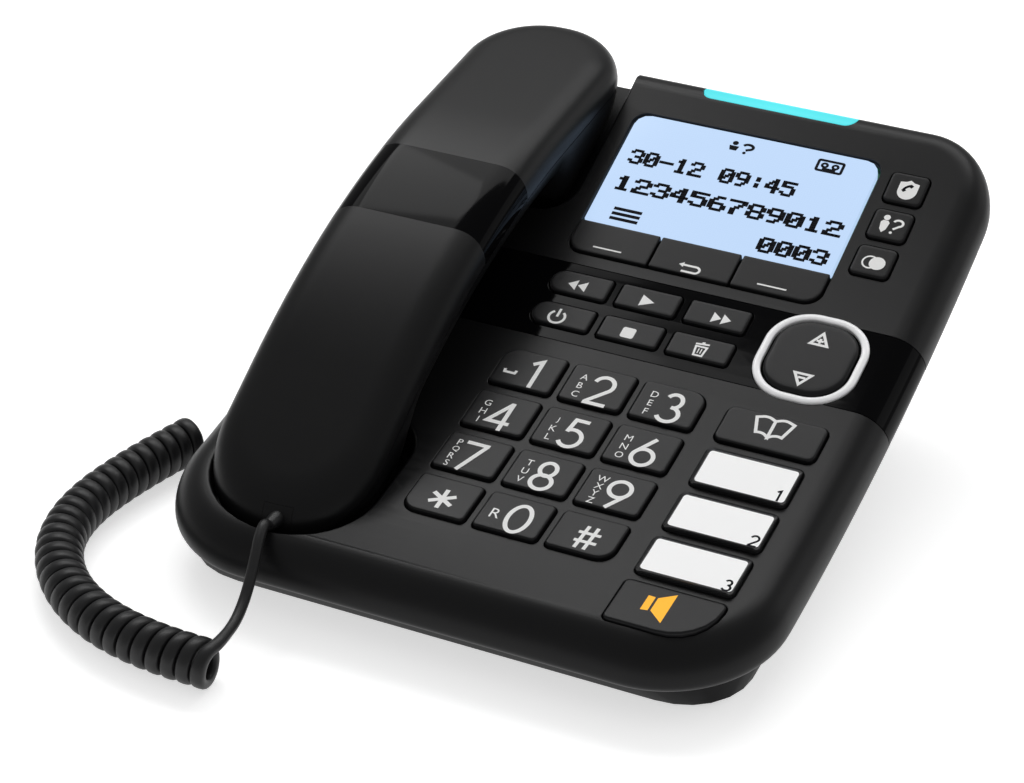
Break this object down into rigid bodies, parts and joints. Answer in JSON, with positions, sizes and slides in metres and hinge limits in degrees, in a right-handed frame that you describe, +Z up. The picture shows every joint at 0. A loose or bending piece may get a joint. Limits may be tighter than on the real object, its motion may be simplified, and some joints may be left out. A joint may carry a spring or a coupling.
{
  "type": "corded telephone with answering machine",
  "caption": "Black corded desk telephone with large keys, display, answering machine keys and a handset in its cradle on a curly cord.",
  "frame": {"origin": "middle of the base on the desk surface, under the middle of its plan, cord left out", "axes": "+X to the right of someone facing the keys, +Y to the rear edge, +Z up"},
  "size_m": [0.2036, 0.2385, 0.0867],
  "materials": {
    "housing": "satin black moulded plastic with a fine spark texture",
    "key_plastic": "satin black key caps with white printed signs",
    "gloss_black": "polished piano black plastic",
    "label_white": "white name label under a clear cover, black key base",
    "ring_white": "silvery white satin ring",
    "display": "clear window over a pale blue lit display with black characters",
    "light_guide": "translucent cyan light guide",
    "cord": "black PVC cord jacket",
    "rubber": "dark elastomer",
    "socket_plastic": "black connector plastic",
    "circuit_board": "green solder mask",
    "steel": "plain pressed steel"
  },
  "bodies": {
    "base": {"upper_housing": "housing", "lower_housing": "housing", "gloss_band": "gloss_black", "light_bar": "light_guide", "nav_ring": "ring_white", "display_window": "display", "display_module": "circuit_board", "key_mat": "rubber", "main_board": "circuit_board", "hook_switch": "socket_plastic", "base_loudspeaker": "steel", "foot_front_left": "rubber", "foot_front_right": "rubber", "foot_rear_left": "rubber", "foot_rear_right": "rubber", "line_socket": "socket_plastic", "power_socket": "socket_plastic", "handset_jack": "socket_plastic", "cord_plug_base": "gloss_black", "cord_coil": "cord", "cord_lead_handset": "cord", "cord_lead_base": "cord"},
    "handset": {"handset_outer_shell": "housing", "handset_inner_shell": "housing", "handset_band": "gloss_black", "handset_receiver": "steel", "handset_microphone": "steel", "handset_socket": "socket_plastic", "cord_plug_handset": "gloss_black"},
    "hook_plunger": {"hook_plunger": "socket_plastic"},
    "nav_rocker": {"nav_rocker": "key_plastic"},
    "key_star": {"key_star": "key_plastic"},
    "key_0": {"key_0": "key_plastic"},
    "key_hash": {"key_hash": "key_plastic"},
    "key_7": {"key_7": "key_plastic"},
    "key_8": {"key_8": "key_plastic"},
    "key_9": {"key_9": "key_plastic"},
    "key_4": {"key_4": "key_plastic"},
    "key_5": {"key_5": "key_plastic"},
    "key_6": {"key_6": "key_plastic"},
    "key_1": {"key_1": "key_plastic"},
    "key_2": {"key_2": "key_plastic"},
    "key_3": {"key_3": "key_plastic"},
    "phonebook_key": {"phonebook_key": "key_plastic"},
    "memory_key_3": {"memory_key_3": "label_white"},
    "memory_key_2": {"memory_key_2": "label_white"},
    "memory_key_1": {"memory_key_1": "label_white"},
    "loudspeaker_key": {"loudspeaker_key": "key_plastic"},
    "power_key": {"power_key": "key_plastic"},
    "stop_key": {"stop_key": "key_plastic"},
    "delete_key": {"delete_key": "key_plastic"},
    "rewind_key": {"rewind_key": "key_plastic"},
    "play_key": {"play_key": "key_plastic"},
    "forward_key": {"forward_key": "key_plastic"},
    "soft_key_left": {"soft_key_left": "key_plastic"},
    "soft_key_middle": {"soft_key_middle": "key_plastic"},
    "soft_key_right": {"soft_key_right": "key_plastic"},
    "side_key_lower": {"side_key_lower": "key_plastic"},
    "side_key_middle": {"side_key_middle": "key_plastic"},
    "side_key_upper": {"side_key_upper": "key_plastic"}
  },
  "joints": [
    {"name": "nav_rocker_tilt", "type": "hinge", "parent": "base", "child": "nav_rocker", "pos_m": [0.0595, 0.01424, 0.04392], "axis": [1, 0, 0], "range_deg": [-3.5, 3.5], "stiffness_Nm_per_rad": 0.15},
    {"name": "handset_lift", "type": "slide", "parent": "base", "child": "handset", "axis": [0, 0, 1], "range_m": [0, 0.06], "deforming": ["cord_lead_handset"]},
    {"name": "hook_plunger_rise", "type": "slide", "parent": "base", "child": "hook_plunger", "axis": [0, 0, 1], "range_m": [0, 0.003]},
    {"name": "key_star_press", "type": "slide", "parent": "base", "child": "key_star", "axis": [0, 0.1482, -0.989], "range_m": [0, 0.0011], "stiffness_N_per_m": 400},
    {"name": "key_0_press", "type": "slide", "parent": "base", "child": "key_0", "axis": [0, 0.1482, -0.989], "range_m": [0, 0.0011], "stiffness_N_per_m": 400},
    {"name": "key_hash_press", "type": "slide", "parent": "base", "child": "key_hash", "axis": [0, 0.1482, -0.989], "range_m": [0, 0.0011], "stiffness_N_per_m": 400},
    {"name": "key_7_press", "type": "slide", "parent": "base", "child": "key_7", "axis": [0, 0.1812, -0.9835], "range_m": [0, 0.0011], "stiffness_N_per_m": 400},
    {"name": "key_8_press", "type": "slide", "parent": "base", "child": "key_8", "axis": [0, 0.1812, -0.9835], "range_m": [0, 0.0011], "stiffness_N_per_m": 400},
    {"name": "key_9_press", "type": "slide", "parent": "base", "child": "key_9", "axis": [0, 0.1812, -0.9835], "range_m": [0, 0.0011], "stiffness_N_per_m": 400},
    {"name": "key_4_press", "type": "slide", "parent": "base", "child": "key_4", "axis": [0, 0.2139, -0.9769], "range_m": [0, 0.0011], "stiffness_N_per_m": 400},
    {"name": "key_5_press", "type": "slide", "parent": "base", "child": "key_5", "axis": [0, 0.2139, -0.9769], "range_m": [0, 0.0011], "stiffness_N_per_m": 400},
    {"name": "key_6_press", "type": "slide", "parent": "base", "child": "key_6", "axis": [0, 0.2139, -0.9769], "range_m": [0, 0.0011], "stiffness_N_per_m": 400},
    {"name": "key_1_press", "type": "slide", "parent": "base", "child": "key_1", "axis": [0, 0.2464, -0.9692], "range_m": [0, 0.0011], "stiffness_N_per_m": 400},
    {"name": "key_2_press", "type": "slide", "parent": "base", "child": "key_2", "axis": [0, 0.2464, -0.9692], "range_m": [0, 0.0011], "stiffness_N_per_m": 400},
    {"name": "key_3_press", "type": "slide", "parent": "base", "child": "key_3", "axis": [0, 0.2464, -0.9692], "range_m": [0, 0.0011], "stiffness_N_per_m": 400},
    {"name": "phonebook_key_press", "type": "slide", "parent": "base", "child": "phonebook_key", "axis": [0, 0.2444, -0.9697], "range_m": [0, 0.0011], "stiffness_N_per_m": 400},
    {"name": "memory_key_3_press", "type": "slide", "parent": "base", "child": "memory_key_3", "axis": [0, 0.1471, -0.9891], "range_m": [0, 0.0011], "stiffness_N_per_m": 400},
    {"name": "memory_key_2_press", "type": "slide", "parent": "base", "child": "memory_key_2", "axis": [0, 0.1802, -0.9836], "range_m": [0, 0.0011], "stiffness_N_per_m": 400},
    {"name": "memory_key_1_press", "type": "slide", "parent": "base", "child": "memory_key_1", "axis": [0, 0.2131, -0.977], "range_m": [0, 0.0011], "stiffness_N_per_m": 400},
    {"name": "loudspeaker_key_press", "type": "slide", "parent": "base", "child": "loudspeaker_key", "axis": [0, 0.1129, -0.9936], "range_m": [0, 0.0011], "stiffness_N_per_m": 400},
    {"name": "power_key_press", "type": "slide", "parent": "base", "child": "power_key", "axis": [0, 0.2881, -0.9576], "range_m": [0, 0.0011], "stiffness_N_per_m": 400},
    {"name": "stop_key_press", "type": "slide", "parent": "base", "child": "stop_key", "axis": [0, 0.2881, -0.9576], "range_m": [0, 0.0011], "stiffness_N_per_m": 400},
    {"name": "delete_key_press", "type": "slide", "parent": "base", "child": "delete_key", "axis": [0, 0.2881, -0.9576], "range_m": [0, 0.0011], "stiffness_N_per_m": 400},
    {"name": "rewind_key_press", "type": "slide", "parent": "base", "child": "rewind_key", "axis": [0, 0.3108, -0.9505], "range_m": [0, 0.0011], "stiffness_N_per_m": 400},
    {"name": "play_key_press", "type": "slide", "parent": "base", "child": "play_key", "axis": [0, 0.3108, -0.9505], "range_m": [0, 0.0011], "stiffness_N_per_m": 400},
    {"name": "forward_key_press", "type": "slide", "parent": "base", "child": "forward_key", "axis": [0, 0.3108, -0.9505], "range_m": [0, 0.0011], "stiffness_N_per_m": 400},
    {"name": "soft_key_left_press", "type": "slide", "parent": "base", "child": "soft_key_left", "axis": [0, 0.343, -0.9393], "range_m": [0, 0.0011], "stiffness_N_per_m": 400},
    {"name": "soft_key_middle_press", "type": "slide", "parent": "base", "child": "soft_key_middle", "axis": [0, 0.343, -0.9393], "range_m": [0, 0.0011], "stiffness_N_per_m": 400},
    {"name": "soft_key_right_press", "type": "slide", "parent": "base", "child": "soft_key_right", "axis": [0, 0.343, -0.9393], "range_m": [0, 0.0011], "stiffness_N_per_m": 400},
    {"name": "side_key_lower_press", "type": "slide", "parent": "base", "child": "side_key_lower", "axis": [0, 0.3669, -0.9303], "range_m": [0, 0.0011], "stiffness_N_per_m": 400},
    {"name": "side_key_middle_press", "type": "slide", "parent": "base", "child": "side_key_middle", "axis": [0, 0.3909, -0.9204], "range_m": [0, 0.0011], "stiffness_N_per_m": 400},
    {"name": "side_key_upper_press", "type": "slide", "parent": "base", "child": "side_key_upper", "axis": [0, 0.4146, -0.91], "range_m": [0, 0.0011], "stiffness_N_per_m": 400}
  ],
  "couplings": [
    {"joint": "hook_plunger_rise", "follows": "handset_lift", "ratio": 0.05}
  ]
}
